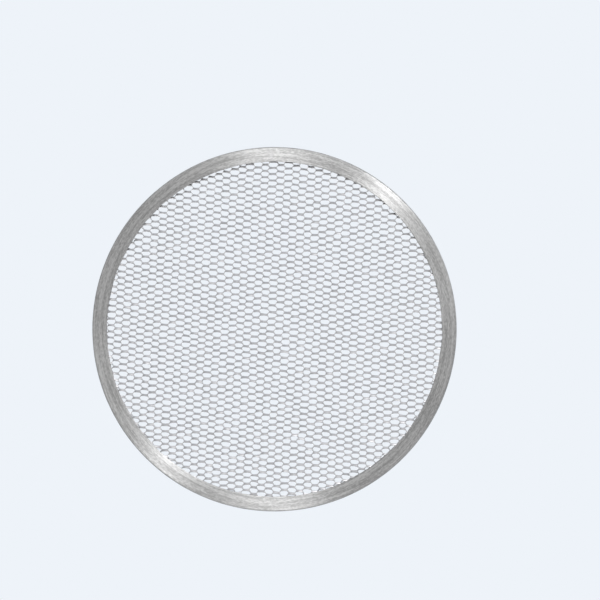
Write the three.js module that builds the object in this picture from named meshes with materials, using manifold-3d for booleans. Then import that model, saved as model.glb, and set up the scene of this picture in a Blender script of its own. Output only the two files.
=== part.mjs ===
// A round baking screen, 12 in across: a disc of raised expanded aluminium mesh whose sheared edge is
// held in a ring of brushed aluminium sheet, folded over it from both sides. Millimetres, +Z up.
// The origin is the centre of the circle that the screen rests on, in the plane of the rim's underside.
import * as THREE from "three";
import { mergeVertices } from "three/addons/utils/BufferGeometryUtils.js";
import Module from "manifold-3d";

// Rim: one ring of sheet, folded into a flat U that opens towards the centre.
const DIAMETER = 304.8;
const RIM_WIDTH = 12.2;
const RIM_HEIGHT = 3.1;
const RIM_SHEET = 0.8;
const RIM_SIDES = 108;
const FOLD_STEPS = 8;

// Mesh: the real expanded metal has rows of six-sided openings, each row half a cell along from the last.
// BOND_SHARE is the part of a cell's length where neighbouring strands stay joined. METAL_WIDTH is how wide
// the metal between two openings looks from straight above.
const LONG_PITCH = 12.75;
const SHORT_PITCH = 5.36;
const BOND_SHARE = 0.38;
const METAL_WIDTH = 1.85;
const MESH_HEIGHT = 2.7;
const MESH_TURN = -3.5;

// The lattice here is the real one, COARSENESS times as large in plan, with the same share of open area.
const COARSENESS = 2.5;
const SMALLEST_OPENING = 12;

// The edge of the mesh is crushed flat where the rim is pressed over it.
const EDGE_HEIGHT = 0.9;
const CLEARANCE = 0.3;
const WELD = 1e-4;

// Worked out from the sizes above.
const radius = DIAMETER / 2;
const lipRadius = radius - RIM_WIDTH;
const middle = RIM_HEIGHT / 2;
const foldRadius = radius - middle;
const channelHeight = RIM_HEIGHT - 2 * RIM_SHEET;
const fieldRadius = lipRadius - CLEARANCE;
const edgeRadius = foldRadius - CLEARANCE / 2;
const openRadius = fieldRadius - METAL_WIDTH;
const cellLength = LONG_PITCH * COARSENESS;
const cellHeight = SHORT_PITCH * COARSENESS;
const metalWidth = METAL_WIDTH * COARSENESS;

const wasm = await Module();
wasm.setup();

function solid(geometry) {
  const bare = geometry.clone();
  bare.deleteAttribute("normal");
  bare.deleteAttribute("uv");
  const merged = mergeVertices(bare, WELD);
  return new wasm.Manifold(
    new wasm.Mesh({
      numProp: 3,
      vertProperties: new Float32Array(merged.attributes.position.array),
      triVerts: new Uint32Array(merged.index.array),
    }),
  );
}

function surface(manifold) {
  const { vertProperties, triVerts } = manifold.getMesh();
  const indexed = new THREE.BufferGeometry();
  indexed.setAttribute("position", new THREE.BufferAttribute(vertProperties, 3));
  indexed.setIndex(new THREE.BufferAttribute(triVerts, 1));
  const flat = indexed.toNonIndexed();
  flat.computeVertexNormals();
  return flat;
}

function disc(discRadius, height) {
  const cylinder = new THREE.CylinderGeometry(discRadius, discRadius, height, RIM_SIDES);
  return cylinder.rotateX(Math.PI / 2).translate(0, 0, middle);
}

// Half a circle about the fold's centre, from below it to above it.
function foldArc(arcRadius) {
  return Array.from({ length: FOLD_STEPS + 1 }, (_, step) => {
    const angle = Math.PI * (step / FOLD_STEPS - 0.5);
    return new THREE.Vector2(
      foldRadius + arcRadius * Math.cos(angle),
      middle + arcRadius * Math.sin(angle),
    );
  });
}

// The U section: out along the underside, round the fold, back along the top, then the inside of the U.
function rimGeometry() {
  const lowerLip = new THREE.Vector2(lipRadius, 0);
  const section = [
    lowerLip,
    ...foldArc(middle),
    new THREE.Vector2(lipRadius, RIM_HEIGHT),
    new THREE.Vector2(lipRadius, RIM_HEIGHT - RIM_SHEET),
    ...foldArc(channelHeight / 2).reverse(),
    new THREE.Vector2(lipRadius, RIM_SHEET),
    lowerLip,
  ];
  return new THREE.LatheGeometry(section, RIM_SIDES).rotateX(Math.PI / 2);
}

// One six-sided opening: a flat at top and bottom as long as a bond, and slanted strands on either side.
function openingShape() {
  const halfHeight = (cellHeight - metalWidth) / 2;
  const halfFlat = (cellLength * BOND_SHARE) / 2;
  const halfWidth = cellLength / 2 - halfFlat - metalWidth / 2;
  return new THREE.Shape([
    new THREE.Vector2(halfWidth, 0),
    new THREE.Vector2(halfFlat, halfHeight),
    new THREE.Vector2(-halfFlat, halfHeight),
    new THREE.Vector2(-halfWidth, 0),
    new THREE.Vector2(-halfFlat, -halfHeight),
    new THREE.Vector2(halfFlat, -halfHeight),
  ]);
}

// Every opening that reaches inside the field, cut off at the solid margin beside the rim.
function openings() {
  const depth = MESH_HEIGHT + 2 * CLEARANCE;
  const opening = new THREE.ExtrudeGeometry(openingShape(), { depth, bevelEnabled: false });
  const cutter = solid(opening.translate(0, 0, middle - depth / 2));
  const rows = Math.ceil((2 * openRadius) / cellHeight) + 1;
  const columns = Math.ceil(openRadius / cellLength) + 1;
  const cutters = [];
  for (let row = -rows; row <= rows; row += 1) {
    const stagger = row % 2 === 0 ? 0 : cellLength / 2;
    for (let column = -columns; column <= columns; column += 1) {
      const x = column * cellLength + stagger;
      const y = (row * cellHeight) / 2;
      if (Math.hypot(x, y) < openRadius + cellLength / 2) cutters.push(cutter.translate([x, y, 0]));
    }
  }
  const field = solid(disc(openRadius, depth));
  const turned = wasm.Manifold.union(cutters).rotate([0, 0, MESH_TURN]);
  const pieces = turned.intersect(field).decompose();
  return pieces.filter((piece) => piece.volume() > SMALLEST_OPENING * depth);
}

function meshGeometry() {
  const field = solid(disc(fieldRadius, MESH_HEIGHT));
  const edge = solid(disc(edgeRadius, EDGE_HEIGHT));
  return surface(field.add(edge).subtract(wasm.Manifold.union(openings())));
}

const brushedAluminium = new THREE.MeshStandardMaterial({
  name: "brushed_aluminium",
  color: 0xb4b4b2,
  metalness: 1,
  roughness: 0.35,
});

const millAluminium = new THREE.MeshStandardMaterial({
  name: "mill_finish_aluminium",
  color: 0xc3c4c6,
  metalness: 1,
  roughness: 0.45,
});

function part(name, geometry, material) {
  const mesh = new THREE.Mesh(geometry, material);
  mesh.name = name;
  return mesh;
}

const screen = new THREE.Group();
screen.name = "baking_screen";
screen.add(part("rim", rimGeometry(), brushedAluminium));
screen.add(part("mesh_disc", meshGeometry(), millAluminium));

export default screen;
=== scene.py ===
"""A 12 in baking screen: a disc of raised expanded aluminium mesh, clamped in a folded, brushed rim."""
import math

import bmesh
import bpy
from mathutils import Matrix, Vector, noise


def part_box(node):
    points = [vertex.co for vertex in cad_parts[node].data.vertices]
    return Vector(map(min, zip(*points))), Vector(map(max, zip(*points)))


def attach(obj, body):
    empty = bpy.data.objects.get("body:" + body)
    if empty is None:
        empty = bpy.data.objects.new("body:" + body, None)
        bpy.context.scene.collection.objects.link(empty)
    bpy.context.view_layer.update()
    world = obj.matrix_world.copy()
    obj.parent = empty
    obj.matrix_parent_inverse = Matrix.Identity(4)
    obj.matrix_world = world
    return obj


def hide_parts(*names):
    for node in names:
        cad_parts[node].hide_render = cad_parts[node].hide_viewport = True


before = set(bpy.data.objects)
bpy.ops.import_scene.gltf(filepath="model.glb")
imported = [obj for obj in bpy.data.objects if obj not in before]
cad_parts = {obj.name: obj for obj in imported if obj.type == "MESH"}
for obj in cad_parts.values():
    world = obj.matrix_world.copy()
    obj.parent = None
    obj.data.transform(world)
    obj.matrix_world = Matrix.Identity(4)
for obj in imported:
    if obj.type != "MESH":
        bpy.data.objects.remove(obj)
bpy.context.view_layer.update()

MM = 0.001

# ---------------------------------------------------------------- sizes, in millimetres
# Rim: one ring of sheet, folded over the mesh.
RIM_WIDTH = 12.2
RIM_SHEET = 0.8
RIM_GAP = 0.005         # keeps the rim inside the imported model's box
FOLD_REACH = 1.55       # how far in from the outside the top face starts to roll over
PAINTED_SHADE_FOLD_WIDTH = 1.033    # how far in from the outside the fold's finish reaches: not brushed, rougher, and coloured darker as painted shade
LIP_DROOP = 0.12        # the inner lips are pressed down towards the mesh
LIP_BAND = 2.0          # width of the pressed band
LIP_WANDER = 0.45       # the lips aren't trimmed quite round
LIP_WAVE = 14           # length of the wander's long waves
LIP_RIPPLE = 4          # length of its short waves, a third as deep
LIP_CORNER = 0.2
RIM_STEPS = 480
FOLD_STEPS = 18

# Mesh: aluminium sheet, slit in staggered rows and pulled open. A cell is two bonds and two strands long.
LONG_PITCH = 12.75
SHORT_PITCH = 5.36
BOND_LENGTH = 4.9
STRAND_WIDTH = 1.2
MESH_SHEET = 0.6
BOND_TILT = math.radians(-44)
BOND_FLATTENING = math.radians(9)
STRAND_TILT = math.radians(-63)
TILT_UNEVENNESS = math.radians(16)
TILT_WAVE = 9           # length over which the tilt varies
WIDTH_UNEVENNESS = 0.45
WIDTH_WAVE = 7          # length over which the strands' width varies
NECKING = 0.1           # how much narrower a strand is at its middle, where it stretched most
BOND_PINCH = 0.3        # how far each side of a bond is drawn in at its middle
ROUNDING = 0.7          # 0 for strands with straight slants and sharp turns, 1 for a smooth S
MESH_TURN = math.radians(-3.5)
OPENING_AT = (-2.87, 0.55)  # centre of the opening nearest the screen's centre
BEND_WAVE = 45          # the lattice wanders by up to half of BEND_REACH over this length
BEND_REACH = (0.9, 0.9, 0)
CELL_WAVE = 9           # and each cell is a little out of shape
CELL_REACH = (1.15, 0.6, 0.2)
EDGE_HEIGHT = 0.9       # the mesh is crushed to this inside the fold
CRUSH_BAND = 1.0        # over this much of the radius the mesh goes from its full height to EDGE_HEIGHT
CRUSH_INSIDE = 0.5      # the part of that band that is seen, inside the lips
TUCKED_IN = 8.5         # how far the sheared edge reaches under the rim's lips

# Where in the noise each pattern is read, so that no two are alike.
OTHER_PLACE = Vector((3, 5, 9))
AXIS_STEP = Vector((31, 7, 3))

BOND_COLUMNS = 2
STRAND_COLUMNS = 4
CELL_COLUMNS = 2 * (BOND_COLUMNS + STRAND_COLUMNS)

SHARP_EDGE = math.radians(50)  # edges that turn more than this look sharp

# Finishes: how wide and how long the marks in the metal are.
LINE_WIDTH = 0.45
LINES_A_RADIAN = 7.0
LINE_DEPTH = 0.02
BAND_WIDTH = 2.6
BANDS_A_RADIAN = 3.0
STROKE_WIDTH = 0.9
STROKE_LENGTH = 2.8
FOLD_MOTTLE_SIZE = 6
MOTTLE_SIZE = 9
MILL_GRAIN = 0.35
TORN_GRAIN = 0.5
TORN_DEPTH = 0.05

# In metres: the light table under the screen, the lit wall round it, the lights and the camera above.
FLOOR_SIZE = 40.0
BACKDROP_RADIUS = 14.0
BACKDROP_HEIGHT = 5.0
BACKDROP_SUNK = 0.5     # the wall starts below the table, so that no gap shows
TABLE_GAP = 0.0001
SOFTBOX_DISTANCE = 6.0
SOFTBOX_HEIGHT = 2.1
VIEW_WIDTH = 0.5019     # what the camera sees of the screen's plane, from side to side
CAMERA_HEIGHT = 1.8
CAMERA_OFFSET = (0.02133, 0.02443)

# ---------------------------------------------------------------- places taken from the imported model
rim_low, rim_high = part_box("rim")
RIM_RADIUS = rim_high.x / MM - RIM_GAP
RIM_HEIGHT = (rim_high.z - rim_low.z) / MM
MIDDLE = (rim_high.z + rim_low.z) / 2 / MM
LIP_RADIUS = RIM_RADIUS - RIM_WIDTH


def linear(code):
    """An sRGB hex value as the linear RGBA that a shader takes."""
    values = [int(code[i:i + 2], 16) / 255 for i in (1, 3, 5)]
    return [v / 12.92 if v <= 0.04045 else ((v + 0.055) / 1.055) ** 2.4 for v in values] + [1.0]


# ---------------------------------------------------------------- materials
def new_material(name):
    """A material with its node tree and its shader."""
    material = bpy.data.materials.new(name)
    material.use_nodes = True
    return material, material.node_tree, material.node_tree.nodes["Principled BSDF"]


def add(tree, kind, settings=None, **links):
    """Adds a node. settings are its own properties and its sockets' values, by name or number.

    links feed its sockets: by name, with _ for a space, or by number as i0, i1 and so on.
    """
    node = tree.nodes.new(kind)
    for key, value in (settings or {}).items():
        if isinstance(key, int) or key in node.inputs:
            node.inputs[key].default_value = value
        else:
            setattr(node, key, value)
    for key, source in links.items():
        target = node.inputs[int(key[1:]) if key[1:].isdigit() else key.replace("_", " ")]
        tree.links.new(source, target)
    return node


def polar_vector(tree, across, along):
    """Object coordinates bent round the centre: across units a metre outwards, along units a radian."""
    place = add(tree, "ShaderNodeTexCoord").outputs["Object"]
    flat = add(tree, "ShaderNodeVectorMath", {"operation": "MULTIPLY", 1: (1, 1, 0)}, i0=place)
    length = add(tree, "ShaderNodeVectorMath", {"operation": "LENGTH"}, i0=flat.outputs[0])
    radial = add(tree, "ShaderNodeMath", {"operation": "MULTIPLY", 1: across}, i0=length.outputs["Value"])
    direction = add(tree, "ShaderNodeVectorMath", {"operation": "NORMALIZE"}, i0=flat.outputs[0])
    bent = add(tree, "ShaderNodeVectorMath", {"operation": "SCALE", "Scale": along}, i0=direction.outputs[0])
    round_centre = add(tree, "ShaderNodeSeparateXYZ", i0=bent.outputs[0]).outputs
    height = add(tree, "ShaderNodeSeparateXYZ", i0=place).outputs["Z"]
    section = add(tree, "ShaderNodeMath", {"operation": "MULTIPLY_ADD", 1: across},
                  i0=height, i2=radial.outputs[0]).outputs[0]
    polar = add(tree, "ShaderNodeCombineXYZ", X=section, Y=round_centre["X"], Z=round_centre["Y"])
    return polar.outputs[0]


def brushed_aluminium():
    """Aluminium sheet brushed on a turntable: fine rings that spread each light into a wedge across the rim.

    The brush marks are drawn coarser than real ones, so that they show: LINE_WIDTH rings, STROKE marks and
    broad BAND_WIDTH rings, in equal parts.
    """
    material, tree, shader = new_material("brushed_aluminium_sheet")
    line_place = polar_vector(tree, 1 / (LINE_WIDTH * MM), LINES_A_RADIAN)
    band_place = polar_vector(tree, 1 / (BAND_WIDTH * MM), BANDS_A_RADIAN)
    stroke_place = polar_vector(tree, 1 / (STROKE_WIDTH * MM), RIM_RADIUS / STROKE_LENGTH)
    fine = {"Scale": 1.0, "Detail": 3.0, "Roughness": 0.6}
    plain = {"Scale": 1.0, "Detail": 2.0, "Roughness": 0.5}
    lines = add(tree, "ShaderNodeTexNoise", fine, Vector=line_place).outputs["Fac"]
    bands = add(tree, "ShaderNodeTexNoise", plain, Vector=band_place).outputs["Fac"]
    strokes = add(tree, "ShaderNodeTexNoise", plain, Vector=stroke_place).outputs["Fac"]
    coarse = add(tree, "ShaderNodeMath", {"operation": "ADD"}, i0=bands, i1=strokes)
    total = add(tree, "ShaderNodeMath", {"operation": "ADD"}, i0=coarse.outputs[0], i1=lines)
    mean = add(tree, "ShaderNodeMath", {"operation": "DIVIDE", 1: 3.0}, i0=total.outputs[0])
    colour = add(tree, "ShaderNodeValToRGB", Fac=mean.outputs[0])
    colour.color_ramp.elements[0].position = 0.42
    colour.color_ramp.elements[0].color = linear("#aeaeae")
    colour.color_ramp.elements[1].position = 0.58
    colour.color_ramp.elements[1].color = linear("#e0e0e0")
    tree.links.new(colour.outputs["Color"], shader.inputs["Base Color"])
    rough = add(tree, "ShaderNodeMapRange", {"From Min": 0.3, "From Max": 0.7, "To Min": 0.39, "To Max": 0.5},
                Value=lines)
    tree.links.new(rough.outputs["Result"], shader.inputs["Roughness"])
    bump = add(tree, "ShaderNodeBump", {"Strength": 0.35, "Distance": LINE_DEPTH * MM}, Height=lines)
    tree.links.new(bump.outputs["Normal"], shader.inputs["Normal"])
    tangent = add(tree, "ShaderNodeTangent", {"direction_type": "RADIAL", "axis": "Z"})
    tree.links.new(tangent.outputs["Tangent"], shader.inputs["Tangent"])
    shader.inputs["Metallic"].default_value = 1.0
    shader.inputs["Anisotropic"].default_value = 0.95
    shader.inputs["Anisotropic Rotation"].default_value = 0.25
    return material


def painted_shade_fold_aluminium():
    """The outside of the fold: not brushed, duller and rougher, and coloured darker than the brushed face as
    painted shade along the outer edge.
    """
    material, tree, shader = new_material("fold_aluminium_with_painted_shade")
    place = add(tree, "ShaderNodeTexCoord").outputs["Object"]
    fold_mottle = add(tree, "ShaderNodeTexNoise", {"Scale": 1 / (FOLD_MOTTLE_SIZE * MM), "Detail": 4.0}, Vector=place)
    # painted shade: these greys are darker than the brushed face's, so that the fold shows as a darker line
    # round the outside
    colour = add(tree, "ShaderNodeValToRGB", Fac=fold_mottle.outputs["Fac"])
    colour.color_ramp.elements[0].position = 0.35
    colour.color_ramp.elements[0].color = linear("#a0a0a0")
    colour.color_ramp.elements[1].position = 0.65
    colour.color_ramp.elements[1].color = linear("#bababa")
    tree.links.new(colour.outputs["Color"], shader.inputs["Base Color"])
    rough = add(tree, "ShaderNodeMapRange", {"To Min": 0.55, "To Max": 0.68}, Value=fold_mottle.outputs["Fac"])
    tree.links.new(rough.outputs["Result"], shader.inputs["Roughness"])
    shader.inputs["Metallic"].default_value = 1.0
    return material


def mill_aluminium():
    """Rolled aluminium as it left the mill: the flat faces of the strands, soft grey with a faint mottle."""
    material, tree, shader = new_material("mill_finish_aluminium")
    place = add(tree, "ShaderNodeTexCoord").outputs["Object"]
    mottle = add(tree, "ShaderNodeTexNoise", {"Scale": 1 / (MOTTLE_SIZE * MM), "Detail": 3.0}, Vector=place)
    colour = add(tree, "ShaderNodeValToRGB", Fac=mottle.outputs["Fac"])
    colour.color_ramp.elements[0].position = 0.3
    colour.color_ramp.elements[0].color = linear("#c0c0c2")
    colour.color_ramp.elements[1].position = 0.7
    colour.color_ramp.elements[1].color = linear("#d6d5d7")
    tree.links.new(colour.outputs["Color"], shader.inputs["Base Color"])
    grain = add(tree, "ShaderNodeTexNoise", {"Scale": 1 / (MILL_GRAIN * MM), "Detail": 2.0}, Vector=place)
    rough = add(tree, "ShaderNodeMapRange", {"To Min": 0.38, "To Max": 0.52}, Value=grain.outputs["Fac"])
    tree.links.new(rough.outputs["Result"], shader.inputs["Roughness"])
    shader.inputs["Metallic"].default_value = 1.0
    return material


def sheared_aluminium():
    """The sides of the slits, where the knife sheared and tore the sheet: brighter, rougher and ribbed."""
    material, tree, shader = new_material("sheared_aluminium_edge")
    place = add(tree, "ShaderNodeTexCoord").outputs["Object"]
    torn = add(tree, "ShaderNodeTexNoise", {"Scale": 1 / (TORN_GRAIN * MM), "Detail": 2.0}, Vector=place)
    grain = torn.outputs["Fac"]
    colour = add(tree, "ShaderNodeValToRGB", Fac=grain)
    colour.color_ramp.elements[0].color = linear("#bababb")
    colour.color_ramp.elements[1].color = linear("#dddcdd")
    tree.links.new(colour.outputs["Color"], shader.inputs["Base Color"])
    bump = add(tree, "ShaderNodeBump", {"Strength": 0.3, "Distance": TORN_DEPTH * MM}, Height=grain)
    tree.links.new(bump.outputs["Normal"], shader.inputs["Normal"])
    shader.inputs["Metallic"].default_value = 1.0
    shader.inputs["Roughness"].default_value = 0.5
    return material


def light_table():
    """Pale opal acrylic, lit from below."""
    material, _tree, shader = new_material("opal_light_table")
    shader.inputs["Base Color"].default_value = linear("#000000")
    shader.inputs["Emission Color"].default_value = linear("#eef3f9")
    shader.inputs["Emission Strength"].default_value = 1.0
    shader.inputs["Specular IOR Level"].default_value = 0.0
    return material


# ---------------------------------------------------------------- making
def finished(bm, name, *materials):
    """Turns a bmesh into an object in the frame, with smooth faces between sharp edges."""
    for face in bm.faces:
        face.smooth = True
    for edge in bm.edges:
        edge.smooth = len(edge.link_faces) == 2 and edge.calc_face_angle(0) < SHARP_EDGE
    bmesh.ops.scale(bm, vec=(MM, MM, MM), verts=bm.verts[:])
    mesh = bpy.data.meshes.new(name)
    bm.to_mesh(mesh)
    bm.free()
    for material in materials:
        mesh.materials.append(material)
    piece = bpy.data.objects.new(name, mesh)
    bpy.context.scene.collection.objects.link(piece)
    return piece


def thicken(bm, thickness):
    """Gives a bare surface its thickness, on the side its normals point to. The new sides take material 1."""
    bm.normal_update()
    outwards = bm.verts.layers.float_vector.new("outwards")
    for vertex in bm.verts:
        vertex[outwards] = vertex.normal
    made = bmesh.ops.extrude_face_region(bm, geom=bm.faces[:], use_keep_orig=True)
    raised = {item for item in made["geom"] if isinstance(item, bmesh.types.BMVert)}
    for vertex in raised:
        vertex.co += vertex[outwards] * thickness
    for face in bm.faces:
        raised_corners = sum(vertex in raised for vertex in face.verts)
        face.material_index = int(0 < raised_corners < len(face.verts))
    bm.verts.layers.float_vector.remove(outwards)
    bm.normal_update()


def slit_sheet(columns, rows):
    """A flat sheet one unit a column and a row, slit along every row line except at the bonds."""
    bm = bmesh.new()
    whole = Matrix.Translation((columns / 2, rows / 2, 0)) @ Matrix.Diagonal((columns, rows, 1, 1))
    bmesh.ops.create_grid(bm, x_segments=columns, y_segments=rows, size=0.5, matrix=whole)
    slits = []
    for edge in bm.edges:
        middle = (edge.verts[0].co + edge.verts[1].co) / 2
        along_row = abs(edge.verts[0].co.y - edge.verts[1].co.y) < 0.5
        line = round(middle.y)
        if along_row and 0 < line < rows and not bonded(middle.x, line):
            slits.append(edge)
    bmesh.ops.split_edges(bm, edges=slits)
    return bm


def bonded(column, line):
    """True where the strands on both sides of a row line stay joined."""
    return (column + line % 2 * CELL_COLUMNS / 2) % CELL_COLUMNS < BOND_COLUMNS


def along(column):
    """The place in millimetres of a column of the slit sheet, which starts at a bond."""
    cells, rest = divmod(column, CELL_COLUMNS / 2)
    strand = LONG_PITCH / 2 - BOND_LENGTH
    into_bond = min(rest / BOND_COLUMNS, 1) * BOND_LENGTH
    into_strand = max(rest - BOND_COLUMNS, 0) / STRAND_COLUMNS * strand
    return cells * LONG_PITCH / 2 + into_bond + into_strand


def swing(column, row):
    """Where a strand runs, from +1 at the bond above it to -1 at the bond below.

    Also how far it stretched there, from 0 to 1, and 1 at the middle of a bond.
    """
    phase = (column + (row + 1) % 2 * CELL_COLUMNS / 2) % CELL_COLUMNS
    side, rest = (1, phase) if phase < CELL_COLUMNS / 2 else (-1, phase - CELL_COLUMNS / 2)
    share = max(rest - BOND_COLUMNS, 0) / STRAND_COLUMNS
    eased = share + (share * share * (3 - 2 * share) - share) * ROUNDING
    pinched = 1 if rest == BOND_COLUMNS / 2 else 0
    return side * (1 - 2 * eased), math.sin(math.pi * share) ** 2, pinched


def stretch_open(bm):
    """Pulls the slit sheet open: each strand swings between its bonds and tilts up out of the sheet."""
    reach = SHORT_PITCH / 4 - STRAND_WIDTH / 2 * math.cos(BOND_TILT)
    lift = -STRAND_WIDTH / 2 * math.sin(BOND_TILT)
    rows = {face: math.floor(face.calc_center_median().y) for face in bm.faces}
    for vertex in bm.verts:
        row = rows[vertex.link_faces[0]]
        upper_or_lower = 1 if vertex.co.y > row + 0.5 else -1
        column = round(vertex.co.x)
        rise, stretched, pinched = swing(column, row)
        half_width = STRAND_WIDTH * (1 - NECKING * stretched) / 2
        tilt = BOND_TILT + (STRAND_TILT - BOND_TILT) * stretched + BOND_FLATTENING * pinched
        place = Vector((along(column), (row + 0.5) * SHORT_PITCH / 2, 0))
        tilt += TILT_UNEVENNESS * noise.noise(place / TILT_WAVE)
        half_width *= 1 + WIDTH_UNEVENNESS * noise.noise(place / WIDTH_WAVE + OTHER_PLACE)
        on_bond_side = len({rows[face] for face in vertex.link_faces}) == 1
        if on_bond_side:
            half_width -= BOND_PINCH * pinched
        centre = place + Vector((0, reach * rise, lift * rise))
        vertex.co = centre + Vector((0, math.cos(tilt), math.sin(tilt))) * (upper_or_lower * half_width)


def drift(place, reach):
    """Smooth unevenness: a shift of up to about half of reach each way, from one fixed pattern."""
    return Vector([noise.noise(place + AXIS_STEP * axis) * reach[axis] for axis in range(3)])


def place_and_bend(bm, columns, rows):
    """Centres the lattice, turns it as it was sheared, and gives it the slight unevenness of drawn metal."""
    # Odd row lines have an opening where even ones have a bond.
    opening_column = (columns // CELL_COLUMNS // 2 * CELL_COLUMNS) + BOND_COLUMNS / 2
    odd_line = rows // 4 * 2 + 1
    opening = Vector((along(opening_column), odd_line * SHORT_PITCH / 2, 0))
    bmesh.ops.translate(bm, vec=-opening, verts=bm.verts[:])
    bmesh.ops.rotate(bm, matrix=Matrix.Rotation(MESH_TURN, 3, "Z"), verts=bm.verts[:])
    bmesh.ops.translate(bm, vec=(*OPENING_AT, 0), verts=bm.verts[:])
    for vertex in bm.verts:
        vertex.co += drift(vertex.co / BEND_WAVE, BEND_REACH) + drift(vertex.co / CELL_WAVE, CELL_REACH)


def shear_round(bm, radius):
    """Cuts the lattice to a disc and drops the slivers that no longer hang on."""
    outside = [f for f in bm.faces if f.calc_center_median().xy.length > radius]
    bmesh.ops.delete(bm, geom=outside, context="FACES")
    start = min(bm.faces, key=lambda f: f.calc_center_median().xy.length)
    kept = {start}
    to_visit = [start]
    while to_visit:
        face = to_visit.pop()
        for edge in face.edges:
            for other in edge.link_faces:
                if other not in kept:
                    kept.add(other)
                    to_visit.append(other)
    bmesh.ops.delete(bm, geom=[f for f in bm.faces if f not in kept], context="FACES")
    for vertex in bm.verts[:]:
        border = [edge for edge in vertex.link_edges if edge.is_boundary]
        touching_at_point = len(border) > 2
        if touching_at_point:
            bmesh.utils.vert_separate(vertex, border)


def crush_edge(bm):
    """Flattens the mesh where the rim is pressed over it."""
    height = max(v.co.z for v in bm.verts) - min(v.co.z for v in bm.verts)
    start = LIP_RADIUS - CRUSH_INSIDE
    for vertex in bm.verts:
        share = max(0, min(1, (vertex.co.xy.length - start) / CRUSH_BAND))
        vertex.co.z *= 1 + (EDGE_HEIGHT / height - 1) * share


def make_mesh_disc(faces_material, edges_material):
    """The expanded mesh, with one material on the rolled faces and one on the sides of the slits."""
    disc_radius = LIP_RADIUS + TUCKED_IN
    columns = (math.ceil(2 * disc_radius / LONG_PITCH) + 2) * CELL_COLUMNS
    rows = (math.ceil(2 * disc_radius / SHORT_PITCH) + 2) * 2
    bm = slit_sheet(columns, rows)
    stretch_open(bm)
    place_and_bend(bm, columns, rows)
    shear_round(bm, disc_radius)
    thicken(bm, MESH_SHEET)
    low = min(v.co.z for v in bm.verts)
    high = max(v.co.z for v in bm.verts)
    bmesh.ops.translate(bm, vec=(0, 0, -(low + high) / 2), verts=bm.verts[:])
    crush_edge(bm)
    bmesh.ops.translate(bm, vec=(0, 0, MIDDLE), verts=bm.verts[:])
    return finished(bm, "expanded_mesh", faces_material, edges_material)


def make_rim(face_material, fold_material):
    """A ring of sheet folded to a flat U.

    The section is the sheet's inner skin, from the lower lip round the fold to the upper lip. It is spun to a
    ring, and the sheet's thickness is added outside it.
    """
    bm = bmesh.new()
    half = RIM_HEIGHT / 2 - RIM_SHEET
    reach = FOLD_REACH - RIM_SHEET
    turn = RIM_RADIUS - FOLD_REACH
    lip = [(LIP_RADIUS, half - LIP_DROOP), (LIP_RADIUS + LIP_BAND / 2, half - LIP_DROOP / 3),
           (LIP_RADIUS + LIP_BAND, half)]
    fold = [math.pi * (step / FOLD_STEPS - 0.5) for step in range(FOLD_STEPS + 1)]
    section = [(r, -z) for r, z in lip]
    section += [(turn + reach * math.cos(a), half * math.sin(a)) for a in fold]
    section += lip[::-1]
    line = [bm.verts.new((r, 0, MIDDLE + z)) for r, z in section]
    edges = [bm.edges.new(pair) for pair in zip(line, line[1:])]
    bmesh.ops.spin(bm, geom=line + edges, cent=(0, 0, 0), axis=(0, 0, 1), angle=math.tau,
                   steps=RIM_STEPS, use_merge=True)
    bmesh.ops.recalc_face_normals(bm, faces=bm.faces[:])
    top_face = max(bm.faces, key=lambda f: f.calc_center_median().z)
    if top_face.normal.z < 0:
        bmesh.ops.reverse_faces(bm, faces=bm.faces[:])
    for vertex in bm.verts:
        share = max(0, 1 - (vertex.co.xy.length - LIP_RADIUS) / LIP_BAND)
        wander = noise.noise(vertex.co / LIP_WAVE) + noise.noise(vertex.co / LIP_RIPPLE) / 3
        vertex.co.xy *= 1 + LIP_WANDER * wander * share / LIP_RADIUS
    thicken(bm, RIM_SHEET)
    # the outer band takes the fold material: rougher, not brushed, and with painted shade in its darker
    # colour
    for face in bm.faces:
        face.material_index = int(face.calc_center_median().xy.length > RIM_RADIUS - PAINTED_SHADE_FOLD_WIDTH)
    corners = [e for e in bm.edges if e.calc_face_angle(0) > SHARP_EDGE]
    bmesh.ops.bevel(bm, geom=corners, offset=LIP_CORNER, segments=2, profile=0.5, affect="EDGES", material=-1)
    return finished(bm, "folded_rim", face_material, fold_material)


mesh_disc = make_mesh_disc(mill_aluminium(), sheared_aluminium())
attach(mesh_disc, "root")
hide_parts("mesh_disc")

rim = make_rim(brushed_aluminium(), painted_shade_fold_aluminium())
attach(rim, "root")
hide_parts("rim")


# ---------------------------------------------------------------- studio
def make_floor(opal):
    """The light table, just under the screen."""
    bm = bmesh.new()
    bmesh.ops.create_grid(bm, x_segments=1, y_segments=1, size=FLOOR_SIZE / 2 / MM)
    bmesh.ops.translate(bm, vec=(0, 0, (rim_low.z - TABLE_GAP) / MM), verts=bm.verts[:])
    floor = finished(bm, "light_table", opal)


def make_backdrop(opal):
    """A lit wall round the table, which only the camera sees: it closes the horizon and lights nothing."""
    bm = bmesh.new()
    foot = bmesh.ops.create_circle(bm, segments=96, radius=BACKDROP_RADIUS / MM)
    bmesh.ops.translate(bm, vec=(0, 0, (rim_low.z - BACKDROP_SUNK) / MM), verts=foot["verts"])
    wall = bmesh.ops.extrude_edge_only(bm, edges=bm.edges[:])
    raised = [item for item in wall["geom"] if isinstance(item, bmesh.types.BMVert)]
    bmesh.ops.translate(bm, vec=(0, 0, BACKDROP_HEIGHT / MM), verts=raised)
    backdrop = finished(bm, "lit_backdrop", opal)
    backdrop.visible_diffuse = False
    backdrop.visible_glossy = False
    backdrop.visible_shadow = False


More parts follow.
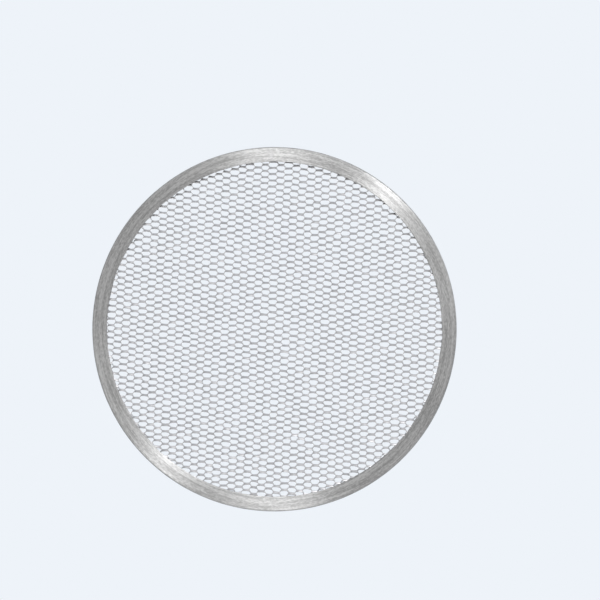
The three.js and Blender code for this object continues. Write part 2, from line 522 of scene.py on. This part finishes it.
def make_softbox(name, compass, elevation, width, power):
    """An area light aimed at the screen. compass is in degrees clockwise from +Y, and power in watts."""
    lamp = bpy.data.lights.new(name, "AREA")
    lamp.shape = "RECTANGLE"
    lamp.size = width
    lamp.size_y = SOFTBOX_HEIGHT
    lamp.energy = power
    box = bpy.data.objects.new(name, lamp)
    bearing = math.radians(compass)
    rise = math.radians(elevation)
    away = Vector((math.sin(bearing) * math.cos(rise), math.cos(bearing) * math.cos(rise), math.sin(rise)))
    box.location = away * SOFTBOX_DISTANCE
    box.rotation_euler = away.to_track_quat("Z", "Y").to_euler()
    box.visible_camera = False
    bpy.context.scene.collection.objects.link(box)


def make_studio_light(at_horizon, overhead):
    """Soft light from all round, weaker towards the horizon."""
    world = bpy.data.worlds.new("studio")
    world.use_nodes = True
    tree = world.node_tree
    direction = add(tree, "ShaderNodeTexCoord").outputs["Generated"]
    height = add(tree, "ShaderNodeSeparateXYZ", Vector=direction).outputs["Z"]
    strength = add(tree, "ShaderNodeMapRange", {"To Min": at_horizon, "To Max": overhead}, Value=height)
    tree.links.new(strength.outputs["Result"], tree.nodes["Background"].inputs["Strength"])
    tree.nodes["Background"].inputs["Color"].default_value = linear("#f8f8f8")
    bpy.context.scene.world = world


def make_camera():
    """A camera that looks straight down, from a little to one side of the screen's centre."""
    lens = bpy.data.cameras.new("camera")
    lens.sensor_width = 36.0
    lens.lens = lens.sensor_width * (CAMERA_HEIGHT - MIDDLE * MM) / VIEW_WIDTH
    lens.clip_end = FLOOR_SIZE
    camera = bpy.data.objects.new("camera", lens)
    camera.location = (*CAMERA_OFFSET, CAMERA_HEIGHT)
    bpy.context.scene.collection.objects.link(camera)
    bpy.context.scene.camera = camera


opal = light_table()
make_floor(opal)
make_backdrop(opal)
make_softbox("softbox_top", compass=0, elevation=40, width=2.1, power=85)
make_softbox("softbox_right", compass=39, elevation=40, width=0.7, power=95)
make_softbox("softbox_left", compass=219, elevation=40, width=0.7, power=27)
make_softbox("softbox_bottom", compass=180, elevation=36, width=2.1, power=55)
make_softbox("softbox_side", compass=70, elevation=40, width=3.2, power=27)
make_studio_light(at_horizon=0.35, overhead=0.72)
make_camera()
bpy.context.scene.view_settings.view_transform = "Standard"
